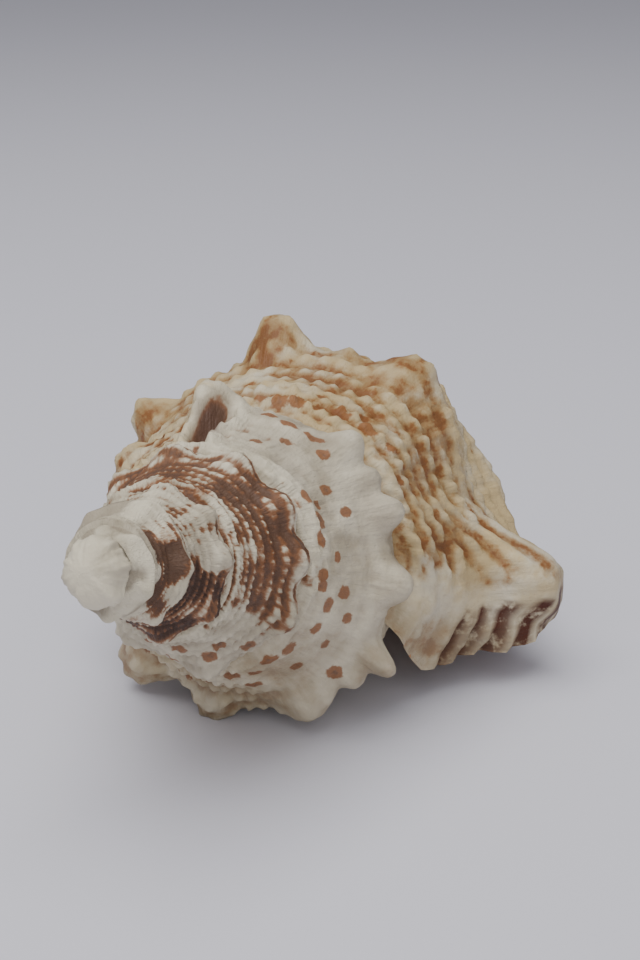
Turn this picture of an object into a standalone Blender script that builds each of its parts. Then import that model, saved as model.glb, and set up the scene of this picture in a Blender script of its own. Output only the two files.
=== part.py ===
"""A large knobbed sea shell lying on its mouth, as one closed solid.

Metres, +Z up, resting on z = 0. The shell is a log-spiral: every size grows by the same factor
in each whorl. Points are worked out as (turn, radius, axial): turn 0 is the last big knob on the
shoulder, negative turns run back to the apex, and axial runs from the spiral's own apex towards
the canal. Lengths in the outlines are in shoulder radii.
"""

import math

import bmesh
import bpy
import numpy as np

# Driving dimensions
SHOULDER_RADIUS = 0.054  # axis to the tip of the last shoulder knob, in metres
GROWTH = 1.53  # size of one whorl over the whorl before it
AXIS_DROP = math.radians(19.0)  # how far the axis falls from the apex to the canal
KNOB_ZERO = math.radians(3.7)  # how far below level the last shoulder knob points
LIP_TURN = 0.055  # the edge of the mouth
WHORLS = 5.75  # from the worn apex to the lip
GROUND = -1.195  # level of the table under the spiral's own apex, in shoulder radii

# Mesh density
COLUMNS = 64  # steps around each of the last two whorls, and half as many before them
BAND_ROWS = 9
BASE_ROWS = 26
CAP_RINGS = 4

# Outlines of a whorl of size 1, as (place, radius, axial)
SUTURE = (0.550, 1.575)
NEXT_SUTURE = (SUTURE[0] * GROWTH, SUTURE[1] * GROWTH)
BAND = (
    (0.00, *SUTURE),
    (0.12, 0.625, 1.645),
    (0.38, 0.700, 1.850),
    (0.60, 0.785, 2.060),
    (0.74, 0.855, 2.190),
    (0.82, 0.870, 2.270),
    (0.91, 0.865, 2.345),
    (1.00, *NEXT_SUTURE),
)
LIP = (
    (0.00, *NEXT_SUTURE),
    (0.12, 0.820, 2.570),
    (0.30, 0.765, 2.810),
    (0.50, 0.600, 3.000),
    (0.68, 0.405, 3.210),
    (0.84, 0.235, 3.385),
    (0.95, 0.130, 3.525),
    (1.00, 0.000, 3.600),
)
PILLAR = (
    (0.00, *SUTURE),
    (0.12, 0.535, 1.740),
    (0.30, 0.435, 2.020),
    (0.50, 0.300, 2.380),
    (0.68, 0.180, 2.780),
    (0.84, 0.110, 3.150),
    (0.95, 0.075, 3.450),
    (1.00, 0.000, 3.600),
)

# Knobs, as (turn, place across the band, height, half length along the whorl, half width)
LIP_FLARE = (0.030, 1.02, 0.120, 0.130, 0.26)
KNOBS = (
    (0.045, 0.78, 0.080, 0.100, 0.16),
    (-0.005, 0.80, 0.195, 0.140, 0.18),
    (-0.182, 0.78, 0.105, 0.120, 0.18),
    (-0.235, 0.80, 0.030, 0.060, 0.08),
    (-0.293, 0.80, 0.180, 0.110, 0.14),
    (-0.416, 0.80, 0.150, 0.100, 0.12),
    (-0.455, 0.84, 0.100, 0.080, 0.12),
    (-0.530, 0.80, 0.140, 0.100, 0.12),
    (-0.642, 0.80, 0.200, 0.160, 0.18),
    (-0.728, 0.80, 0.125, 0.130, 0.15),
    (-0.832, 0.80, 0.125, 0.150, 0.16),
    (-0.885, 0.86, 0.100, 0.090, 0.12),
    (-0.914, 0.88, 0.200, 0.070, 0.11),
    (-0.992, 0.80, 0.140, 0.120, 0.12),
    (-1.066, 0.80, 0.140, 0.100, 0.12),
    (-1.104, 0.80, 0.090, 0.080, 0.12),
    (-1.145, 0.80, 0.140, 0.100, 0.12),
    (-1.298, 0.72, 0.170, 0.130, 0.24),
)
DENT = (-0.080, 1.00, -0.150, 0.260, 0.60)
DENT_INSIDE = 1.5  # the lining gives way more than the outside there
OLD_KNOBS = (
    (-1.42, -1.53, -1.65, -1.776, -1.93, -2.02, -2.10, -2.195, -2.30, -2.40)
    + (-2.52, -2.64, -2.77, -2.90, -3.023, -3.126, -3.241, -3.36, -3.50, -3.66, -3.84, -4.02)
    + (-4.20, -4.38, -4.56, -4.75, -4.95, -5.15, -5.35)
)
OLD_KNOB = (0.83, 0.120, 0.160, 0.15)
KNOB_LEAN = np.array((1.0, -0.06))
KNOB_BLUNT = 1.35
SHOULDER_REACH = 0.87
EDGE_FADE = 0.15

# Below the band of the last whorl, place runs on past 1 by this much to the canal
BASE_MEETS = 0.15  # below this place the base is drawn out to meet the band
BASE_SPAN = 2.6

# Second row of knobs, below the band of the last whorl; the first one is a foot
LOW_KNOBS = (
    (-0.68, 1.45, 0.140, 0.130, 0.24),
    (-0.54, 1.45, 0.090, 0.120, 0.20),
    (-0.42, 1.45, 0.080, 0.120, 0.20),
    (-0.30, 1.45, 0.080, 0.120, 0.20),
    (-0.18, 1.45, 0.080, 0.120, 0.20),
)
CORD_HEIGHT = 0.034

# The mouth
MOUTH_CENTRE = (0.53, 2.50)
MOUTH_RINGS = (
    (0.006, 0.92),
    (0.010, 0.87),
    (0.030, 0.84),
    (0.070, 0.83),
    (0.120, 0.82),
    (0.180, 0.80),
    (0.250, 0.76),
    (0.320, 0.69),
    (0.390, 0.56),
    (0.440, 0.38),
    (0.465, 0.18),
)
MOUTH_END = 0.475
LIP_REACH = (
    (0.00, 0.000),
    (0.10, 0.008),
    (0.20, 0.020),
    (0.30, 0.028),
    (0.40, 0.034),
    (0.50, 0.028),
    (0.60, 0.010),
    (0.70, -0.006),
    (0.80, -0.024),
    (0.90, -0.040),
    (1.00, -0.052),
    (1.10, -0.048),
    (1.30, -0.022),
    (1.50, 0.000),
    (2.00, 0.000),
)
LIP_TOOTH = 0.005
LIP_FADE = 0.16

APEX_AXIAL = 0.10
CAP_BULGE = 0.10
APEX_BEND = 0.030  # the first whorls sag a little, as they grew
APEX_BEND_TURNS = (-5.0, -2.8)
APEX_SWELL = 0.15  # the worn first whorls are plumper
APEX_SWELL_TURNS = (-4.2, -3.4)

SHELL_COLOUR = (0.62, 0.47, 0.32, 1.0)
SHELL_ROUGHNESS = 0.55


def size_at(turn):
    """Size of the whorl at a turn, 1 at turn 0."""
    return GROWTH ** np.asarray(turn, float)


def along(outline, place):
    """Radius and axial at a place along an outline, on a smooth curve through its points."""
    points = np.array(outline)
    knots = points[:, 0]
    values = points[:, 1:]
    slopes = np.gradient(values, knots, axis=0)
    place = np.asarray(place, float)
    left = np.clip(np.searchsorted(knots, place, side="right") - 1, 0, len(knots) - 2)
    span = knots[left + 1] - knots[left]
    u = ((place - knots[left]) / span)[..., None]
    span = span[..., None]
    start = (2 * u**3 - 3 * u**2 + 1) * values[left] + (u**3 - 2 * u**2 + u) * span * slopes[left]
    end = (3 * u**2 - 2 * u**3) * values[left + 1] + (u**3 - u**2) * span * slopes[left + 1]
    return start + end


def bumps(knobs, turn, place):
    """How far a row of knobs stands out at a turn and a place, in radii of its whorl."""
    centre, level, height, length, width = np.array(knobs).T
    walked = (np.asarray(turn)[..., None] - centre) * 2 * math.pi * SHOULDER_REACH / length
    across = (np.asarray(place)[..., None] - level) / width
    return (height * np.exp(-((walked**2 + across**2) ** KNOB_BLUNT))).sum(axis=-1)


def band(turn, place):
    """Radius and axial of the band of a whorl that shows on the spire."""
    knobs = (*KNOBS, DENT, *((old, *OLD_KNOB) for old in OLD_KNOBS))
    edge = np.clip(place / EDGE_FADE, 0, 1)
    swell = np.interp(turn, APEX_SWELL_TURNS, (APEX_SWELL, 0))
    out = (bumps(knobs, turn, place) + swell) * edge
    point = along(BAND, place) + out[..., None] * KNOB_LEAN
    point[..., 0] += bumps((LIP_FLARE,), turn, place) * edge
    return point * size_at(turn)[..., None]


def base(turn, place):
    """Radius and axial below the band of the last whorl, turning from pillar to lip."""
    first = size_at(LIP_TURN - 1)
    share = ((size_at(turn) - first) / (size_at(LIP_TURN) - first))[..., None]
    point = along(LIP, place) * share + along(PILLAR, place) * (1 - share)
    meeting = np.clip(1 - place / BASE_MEETS, 0, 1)[..., None]
    return point * (1 + (size_at(LIP_TURN) - 1) * meeting)


def base_relief(turn, place):
    """How far the lower knobs and the cords stand out below the band."""
    cords = CORD_HEIGHT * (1 + np.cos(math.pi * place * BASE_ROWS)) / 2 * np.clip(4 * (1 - place), 0, 1)
    out = bumps((*KNOBS, LIP_FLARE, DENT, *LOW_KNOBS), turn, 1 + BASE_SPAN * place) + cords
    return out * np.sqrt(np.clip(1 - place, 0, 1)) * size_at(turn)


def to_world(turn, radius, axial):
    """Points in shoulder radii, with the spiral's own apex at the origin."""
    angle = KNOB_ZERO + 2 * math.pi * turn
    side = radius * np.cos(angle)
    down = radius * np.sin(angle) + np.interp(turn, APEX_BEND_TURNS, (APEX_BEND, 0))
    x = axial * math.cos(AXIS_DROP) - down * math.sin(AXIS_DROP)
    z = -axial * math.sin(AXIS_DROP) - down * math.cos(AXIS_DROP)
    return np.stack([x, -side, np.maximum(z, GROUND)], axis=-1)


def column_turns():
    """Turns of the mesh columns, moved a little so that each knob's tip lies on one."""
    coarse = np.arange(round((WHORLS - 2) * COLUMNS / 2)) * 2 / COLUMNS
    fine = np.arange(2 * COLUMNS + 1) / COLUMNS
    turns = np.concatenate([LIP_TURN - WHORLS + coarse, LIP_TURN - 2 + fine])
    for tip in [knob[0] for knob in KNOBS] + list(OLD_KNOBS):
        nearest = np.abs(turns - tip).argmin()
        if 0 < nearest < len(turns) - 1:
            turns[nearest] = tip
    return turns


def lip_reach(turns, place):
    """Turns with the teeth of the lip added to the last columns; place runs past 1 on the base."""
    row = np.arange(place.shape[-1])
    tooth = LIP_TOOTH * np.where(row % 2 == 0, 1, -1) * np.clip((place - 1.0) * 6, 0, 1)
    tooth = tooth * np.clip((1.9 - place) * 6, 0, 1)
    weight = np.clip(1 - (LIP_TURN - turns) / LIP_FADE, 0, 1) ** 2
    places, reaches = np.array(LIP_REACH).T
    return turns + weight * (np.interp(place, places, reaches) + tooth)


def build_mesh():
    """Vertices and faces of the closed shell."""
    turns = column_turns()
    columns = len(turns)
    whorl_back = columns - 1 - COLUMNS
    places = np.concatenate([np.linspace(0, 1, BAND_ROWS + 1), 1 + np.linspace(0, 1, BASE_ROWS + 1)[1:]])

    grid_turn, grid_place = np.meshgrid(turns, places, indexing="ij")
    on_band = grid_place <= 1
    opened = np.clip(grid_turn - turns[0], 0, 1)
    band_place = 1 - (1 - np.minimum(grid_place, 1)) * opened
    grid_turn = lip_reach(grid_turn, grid_place)
    flat = np.where(on_band[..., None], band(grid_turn, band_place), 0)
    low_place = np.maximum(grid_place - 1, 0)
    low = base(grid_turn, low_place)
    low[..., 0] += base_relief(grid_turn, low_place)
    flat = np.where(on_band[..., None], flat, low)
    points = to_world(grid_turn, flat[..., 0], flat[..., 1])

    vertices = []
    index = np.full(points.shape[:2], -1)

    def add(point):
        vertices.append(point)
        return len(vertices) - 1

    for c in range(1, columns):
        for r in range(BAND_ROWS):
            index[c, r] = add(points[c, r])
    index[0, :BAND_ROWS] = index[next_whorl(0, columns), 0]
    for c in range(columns):
        ahead = next_whorl(c, columns)
        index[c, BAND_ROWS] = index[ahead, 0] if ahead is not None else add(points[c, BAND_ROWS])
    pole = add(to_world(0.0, 0.0, LIP[-1][2]))
    for c in range(whorl_back, columns):
        for r in range(BAND_ROWS + 1, len(places) - 1):
            index[c, r] = add(points[c, r])
        index[c, -1] = pole

    faces = []
    for c in range(columns - 1):
        rows = len(places) - 1 if c >= whorl_back else BAND_ROWS
        for r in range(rows):
            face = [index[c, r], index[c + 1, r], index[c + 1, r + 1], index[c, r + 1]]
            if r == BAND_ROWS - 1 and c < whorl_back:
                here, there = next_whorl(c, columns), next_whorl(c + 1, columns)
                middle = [index[k, 0] for k in range(there - 1, here, -1)]
                face = face[:3] + middle + face[3:]
            face = [corner for k, corner in enumerate(face) if corner != face[k - 1]]
            if len(face) > 2:
                faces.append(face)

    add_cap(add, faces, index, points, columns)
    add_mouth(add, faces, index, whorl_back, places)
    return vertices, faces


def next_whorl(column, columns):
    """The column one whorl later, or None past the last."""
    fine = columns - 1 - 2 * COLUMNS
    if column >= fine:
        later = column + COLUMNS
    elif column + COLUMNS // 2 <= fine:
        later = column + COLUMNS // 2
    else:
        later = fine + 2 * (column + COLUMNS // 2 - fine)
    return later if later < columns else None


def add_cap(add, faces, index, points, columns):
    """Closes the worn apex with a low dome over the first whorl's open edge."""
    around = range(1, next_whorl(0, columns) + 1)
    loop = [index[k, 0] for k in around]
    edge = np.array([points[k, 0] for k in around])
    apex = to_world(-WHORLS, 0.0, APEX_AXIAL)
    axis = to_world(0.0, 0.0, 1.0)
    rise = (edge - apex) @ axis
    flat = edge - apex - rise[:, None] * axis
    rings = [loop]
    for step in range(1, CAP_RINGS):
        angle = (1 - step / CAP_RINGS) * math.pi / 2
        bulge = 1 + CAP_BULGE * math.sin(2 * angle)
        ring = apex + flat * math.sin(angle) * bulge + (rise * (1 - math.cos(angle)))[:, None] * axis
        rings.append([add(point) for point in ring])
    join(faces, rings, add(apex))


def add_mouth(add, faces, index, whorl_back, places):
    """Lines the mouth from the rim to its closed inner end."""
    rim = list(index[-1]) + list(index[whorl_back, -2:BAND_ROWS:-1])
    outer = places
    inner = places[-2:BAND_ROWS:-1] - 1
    rings = [rim]
    for depth, share in MOUTH_RINGS:
        ring = mouth_section(LIP_TURN - depth, share, outer, inner)
        rings.append([add(point) for point in ring])
    end = LIP_TURN - MOUTH_END
    centre = np.array(MOUTH_CENTRE) * size_at(end)
    join(faces, rings, add(to_world(end, centre[0], centre[1])))


def mouth_section(turn, share, outer, inner):
    """A closed section of the hollow: the whorl's outline drawn in towards its middle."""
    turns = lip_reach(np.full(outer.shape, turn), outer)
    wall = np.where(
        (outer <= 1)[:, None],
        along(BAND, np.minimum(outer, 1)) * size_at(turns)[:, None],
        base(turns, np.maximum(outer - 1, 0)),
    )
    spread = np.where(outer <= 1, outer, 1 + BASE_SPAN * (outer - 1))
    out = DENT_INSIDE * bumps((DENT,), turns, spread) + bumps((LIP_FLARE,), turns, spread)
    wall[:, 0] += out * size_at(turn)
    pillar = along(PILLAR, inner) * size_at(turn) / size_at(LIP_TURN)
    section = np.concatenate([wall, pillar])
    centre = np.array(MOUTH_CENTRE) * size_at(turn)
    section = centre + (section - centre) * share
    turns = np.concatenate([turns, np.full(inner.shape, turn)])
    return to_world(turns, section[:, 0], section[:, 1])


def join(faces, rings, end):
    """Adds the faces between successive rings, and a fan to an end point."""
    for first, second in zip(rings, rings[1:]):
        for k in range(len(first)):
            faces.append([first[k - 1], first[k], second[k], second[k - 1]])
    for k in range(len(rings[-1])):
        faces.append([rings[-1][k - 1], rings[-1][k], end])


def make_shell(collection):
    """The shell object, standing on z = 0 under the middle of its box."""
    vertices, faces = build_mesh()
    points = np.array(vertices) * SHOULDER_RADIUS
    low = points.min(axis=0)
    high = points.max(axis=0)
    points -= ((low[0] + high[0]) / 2, (low[1] + high[1]) / 2, low[2])
    mesh = bpy.data.meshes.new("shell")
    build = bmesh.new()
    corners = [build.verts.new(point) for point in points]
    for face in faces:
        build.faces.new([corners[k] for k in face])
    bmesh.ops.triangulate(build, faces=build.faces)
    bmesh.ops.recalc_face_normals(build, faces=build.faces)
    build.to_mesh(mesh)
    build.free()
    mesh.shade_smooth()
    mesh.set_sharp_from_angle(angle=math.radians(50))
    shell = bpy.data.objects.new("shell", mesh)
    mesh.materials.append(shell_material())
    collection.objects.link(shell)
    return shell


def shell_material():
    """Cream and tan shell, dry outside."""
    material = bpy.data.materials.new("shell")
    material.use_nodes = True
    surface = material.node_tree.nodes["Principled BSDF"]
    surface.inputs["Base Color"].default_value = SHELL_COLOUR
    surface.inputs["Roughness"].default_value = SHELL_ROUGHNESS
    surface.inputs["Metallic"].default_value = 0.0
    material.diffuse_color = SHELL_COLOUR
    return material


def main():
    """Clears the scene and builds the shell in its own collection."""
    for old in list(bpy.data.objects):
        bpy.data.objects.remove(old)
    collection = bpy.data.collections.new("knobbed_sea_shell")
    bpy.context.scene.collection.children.link(collection)
    make_shell(collection)


main()
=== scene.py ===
import logging
import math
from dataclasses import dataclass, field
from enum import Enum

import bpy
import numpy as np
from mathutils import Matrix, Vector


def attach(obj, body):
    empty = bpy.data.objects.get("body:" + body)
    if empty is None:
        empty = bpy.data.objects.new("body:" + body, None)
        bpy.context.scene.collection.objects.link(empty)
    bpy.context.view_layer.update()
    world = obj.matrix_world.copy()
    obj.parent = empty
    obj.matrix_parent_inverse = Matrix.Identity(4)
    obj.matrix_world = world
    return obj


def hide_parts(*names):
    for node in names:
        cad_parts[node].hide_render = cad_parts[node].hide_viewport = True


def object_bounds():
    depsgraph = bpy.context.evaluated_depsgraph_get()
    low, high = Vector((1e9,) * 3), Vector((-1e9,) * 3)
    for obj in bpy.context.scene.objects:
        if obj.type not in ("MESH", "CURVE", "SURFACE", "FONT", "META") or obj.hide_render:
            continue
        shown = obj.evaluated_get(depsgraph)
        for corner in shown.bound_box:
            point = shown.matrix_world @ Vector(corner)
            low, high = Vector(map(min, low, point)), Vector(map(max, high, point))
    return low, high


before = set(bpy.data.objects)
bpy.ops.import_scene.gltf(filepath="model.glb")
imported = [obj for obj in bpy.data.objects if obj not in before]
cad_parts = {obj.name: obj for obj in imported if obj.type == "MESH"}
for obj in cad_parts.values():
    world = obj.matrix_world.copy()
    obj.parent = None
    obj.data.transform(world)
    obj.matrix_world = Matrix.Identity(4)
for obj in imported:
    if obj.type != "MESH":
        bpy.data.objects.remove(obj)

Array = np.ndarray
Tree = bpy.types.NodeTree
Socket = bpy.types.NodeSocket

log = logging.getLogger("sea_shell")
CAD_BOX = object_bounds()
# Multipliers of the hash behind the noise: large numbers with nothing in common.
HASH = (127.1, 311.7, 74.7, 43758.5453)


class Region(Enum):
    """Which part of the wall a face belongs to."""

    OUTSIDE = 0.0
    LINING = 1.0


@dataclass(frozen=True)
class Spiral:
    """The log-spiral that the shell grew along: every size gains the same factor in each whorl.

    A point is (turn, radius, axial) in shoulder radii. Turn 0 is the last big shoulder knob,
    and axial runs from the spiral's own apex towards the canal.
    """

    shoulder_radius: float = 0.054
    growth: float = 1.53
    axis_drop: float = math.radians(19.0)
    knob_zero: float = math.radians(3.7)
    lip_turn: float = 0.055
    whorls: float = 5.75
    ground: float = -1.195
    apex_bend: float = 0.030
    bend_turns: tuple[float, float] = (-5.0, -2.8)
    apex: tuple[float, float, float] = (-0.09409394, 0.0070533, 0.06453)

    def size_at(self, turn: Array) -> Array:
        """Size of the whorl at a turn: the growth factor to the power of the turn."""
        return self.growth ** np.asarray(turn, float)

    def to_world(self, turn: Array, radius: Array, axial: Array) -> Array:
        """Places points in the row frame.

        The angle is the turn times a full circle; the axis is tipped down by axis_drop, and
        near the apex it bends a little; what would lie under the table is flattened on it.

        Args:
            turn: turns, of any shape.
            radius: distances from the axis, in shoulder radii.
            axial: distances along the axis, in shoulder radii.

        Returns:
            Points in metres, with one more axis of length 3.
        """
        angle = self.knob_zero + 2 * math.pi * turn
        side = radius * np.cos(angle)
        down = radius * np.sin(angle) + np.interp(turn, self.bend_turns, (self.apex_bend, 0))
        x = axial * math.cos(self.axis_drop) - down * math.sin(self.axis_drop)
        z = -axial * math.sin(self.axis_drop) - down * math.cos(self.axis_drop)
        points = np.stack([x, -side, np.maximum(z, self.ground)], axis=-1)
        return points * self.shoulder_radius + np.array(self.apex)


@dataclass(frozen=True)
class Outline:
    """A line in the half-plane of the axis: points as (place, radius, axial)."""

    points: tuple[tuple[float, float, float], ...]
    step: float = 0.01

    def at(self, place: Array) -> Array:
        """Radius and axial at a place: a cubic through the points, with the mean slope at each.

        Args:
            place: places from 0 to 1, of any shape.

        Returns:
            Points in the half-plane, with one more axis of length 2.
        """
        table = np.array(self.points)
        knots, values = table[:, 0], table[:, 1:]
        slopes = np.gradient(values, knots, axis=0)
        place = np.asarray(place, float)
        left = np.clip(np.searchsorted(knots, place, side="right") - 1, 0, len(knots) - 2)
        span = knots[left + 1] - knots[left]
        u = ((place - knots[left]) / span)[..., None]
        span = span[..., None]
        start = (2 * u**3 - 3 * u**2 + 1) * values[left] + (u**3 - 2 * u**2 + u) * span * slopes[left]
        end = (3 * u**2 - 2 * u**3) * values[left + 1] + (u**3 - u**2) * span * slopes[left + 1]
        return start + end

    def outward(self, place: Array) -> Array:
        """Unit vectors square to the line, away from the axis, from small steps along it.

        Args:
            place: places from 0 to 1, of any shape.

        Returns:
            Vectors in the half-plane, with one more axis of length 2.
        """
        along = self.at(np.minimum(place + self.step, 1)) - self.at(np.maximum(place - self.step, 0))
        along /= np.maximum(np.linalg.norm(along, axis=-1, keepdims=True), 1e-9)
        return np.stack([along[..., 1], -along[..., 0]], axis=-1)


@dataclass(frozen=True)
class Knobs:
    """Rows of knobs, each (turn, place, height, half length along the whorl, half width)."""

    rows: tuple[tuple[float, ...], ...]
    blunt: float = 1.35
    reach: float = 0.87

    def height(self, turn: Array, place: Array) -> Array:
        """How far they stand out: a bell around each centre, with a blunter top than a Gaussian.

        Args:
            turn: turns, of any shape.
            place: places of the same shape.

        Returns:
            Heights in radii of the whorl.
        """
        total = np.zeros(np.broadcast(turn, place).shape)
        for centre, level, height, length, width in self.rows:
            walked = (turn - centre) * 2 * math.pi * self.reach / length
            across = (place - level) / width
            total += height * np.exp(-((walked**2 + across**2) ** self.blunt))
        return total


def noise(u: Array, v: Array, seed: float = 0.0) -> Array:
    """Smooth noise from -1 to 1: a hashed value at each whole point, blended between them.

    Args:
        u: first coordinate, one cell per unit.
        v: second coordinate.
        seed: moves the pattern.

    Returns:
        Values of the broadcast shape.
    """
    u, v = np.broadcast_arrays(u, v)
    i, j = np.floor(u), np.floor(v)
    a, b = u - i, v - j
    a, b = a * a * (3 - 2 * a), b * b * (3 - 2 * b)

    def value(x: Array, y: Array) -> Array:
        """The hashed value at whole points."""
        return 2 * np.modf(np.abs(np.sin(x * HASH[0] + y * HASH[1] + seed * HASH[2]) * HASH[3]))[0] - 1

    low = value(i, j) * (1 - a) + value(i + 1, j) * a
    high = value(i, j + 1) * (1 - a) + value(i + 1, j + 1) * a
    return low * (1 - b) + high * b


def bell(x: Array, centre: float, half: float) -> Array:
    """A Gaussian of height 1 around a centre."""
    return np.exp(-(((x - centre) / half) ** 2))


def ramp(x: Array, start: float, end: float) -> Array:
    """0 before start and 1 after end, eased between them."""
    t = np.clip((x - start) / (end - start), 0, 1)
    return t * t * (3 - 2 * t)


def window(x: Array, start: float, full: float, fade: float, end: float) -> Array:
    """0 outside start and end and 1 from full to fade, eased between them."""
    return ramp(x, start, full) * ramp(-x, -end, -fade)


SPIRAL = Spiral()
# A whorl joins the one before it at the suture, given as (radius, axial) in shoulder radii.
SUTURE = (0.550, 1.575)
NEXT_SUTURE = (SUTURE[0] * SPIRAL.growth, SUTURE[1] * SPIRAL.growth)
# The band is what shows of a whorl on the spire, from its suture over the shoulder to the next.
BAND = Outline((
    (0.00, *SUTURE), (0.12, 0.625, 1.645), (0.38, 0.700, 1.850), (0.60, 0.785, 2.060),
    (0.74, 0.855, 2.190), (0.82, 0.870, 2.270), (0.91, 0.865, 2.345), (1.00, *NEXT_SUTURE),
))
# Below the band, the last whorl runs to the canal: along LIP at its end, along PILLAR inside.
LIP = Outline((
    (0.00, *NEXT_SUTURE), (0.12, 0.820, 2.570), (0.30, 0.765, 2.810), (0.50, 0.600, 3.000),
    (0.68, 0.405, 3.210), (0.84, 0.235, 3.385), (0.95, 0.130, 3.525), (1.00, 0.000, 3.600),
))
PILLAR = Outline((
    (0.00, *SUTURE), (0.12, 0.535, 1.740), (0.30, 0.435, 2.020), (0.50, 0.300, 2.380),
    (0.68, 0.180, 2.780), (0.84, 0.110, 3.150), (0.95, 0.075, 3.450), (1.00, 0.000, 3.600),
))
# The wall is dented behind the lip, and flares out at it.
DENT = Knobs(((-0.080, 1.00, -0.150, 0.260, 0.60),))
LIP_FLARE = Knobs(((0.030, 1.02, 0.120, 0.130, 0.26),))
# From the lip back; the last is the old lip, where growth rested a good whorl before it ended.
SHOULDER_KNOBS = Knobs((
    *LIP_FLARE.rows,
    (0.045, 0.80, 0.080, 0.100, 0.16),
    (-0.005, 0.80, 0.195, 0.140, 0.18),
    (-0.182, 0.78, 0.105, 0.120, 0.18),
    (-0.235, 0.80, 0.030, 0.060, 0.08),
    (-0.293, 0.80, 0.180, 0.110, 0.14),
    (-0.416, 0.80, 0.150, 0.100, 0.12),
    (-0.455, 0.84, 0.100, 0.080, 0.12),
    (-0.530, 0.80, 0.140, 0.100, 0.12),
    (-0.642, 0.80, 0.200, 0.160, 0.18),
    (-0.728, 0.80, 0.125, 0.130, 0.15),
    (-0.832, 0.80, 0.125, 0.150, 0.16),
    (-0.885, 0.86, 0.100, 0.090, 0.12),
    (-0.914, 0.88, 0.200, 0.070, 0.11),
    (-0.992, 0.80, 0.140, 0.120, 0.12),
    (-1.066, 0.80, 0.140, 0.100, 0.12),
    (-1.104, 0.80, 0.090, 0.080, 0.12),
    (-1.145, 0.80, 0.140, 0.100, 0.12),
    (-1.298, 0.72, 0.170, 0.130, 0.24),
))
OLD_TURNS = (
    (-1.42, -1.53, -1.65, -1.776, -1.93, -2.02, -2.10, -2.195, -2.30, -2.40)
    + (-2.52, -2.64, -2.77, -2.90, -3.023, -3.126, -3.241, -3.36, -3.50, -3.66, -3.84, -4.02)
    + (-4.20, -4.38, -4.56, -4.75, -4.95, -5.15, -5.35)
)
OLD_KNOBS = Knobs(tuple((turn, 0.83, 0.120, 0.160, 0.15) for turn in OLD_TURNS))
LOW_KNOBS = Knobs((
    (-0.68, 1.45, 0.140, 0.130, 0.24),
    (-0.54, 1.45, 0.090, 0.120, 0.20),
    (-0.42, 1.45, 0.080, 0.120, 0.20),
    (-0.30, 1.45, 0.080, 0.120, 0.20),
    (-0.18, 1.45, 0.080, 0.120, 0.20),
))


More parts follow.
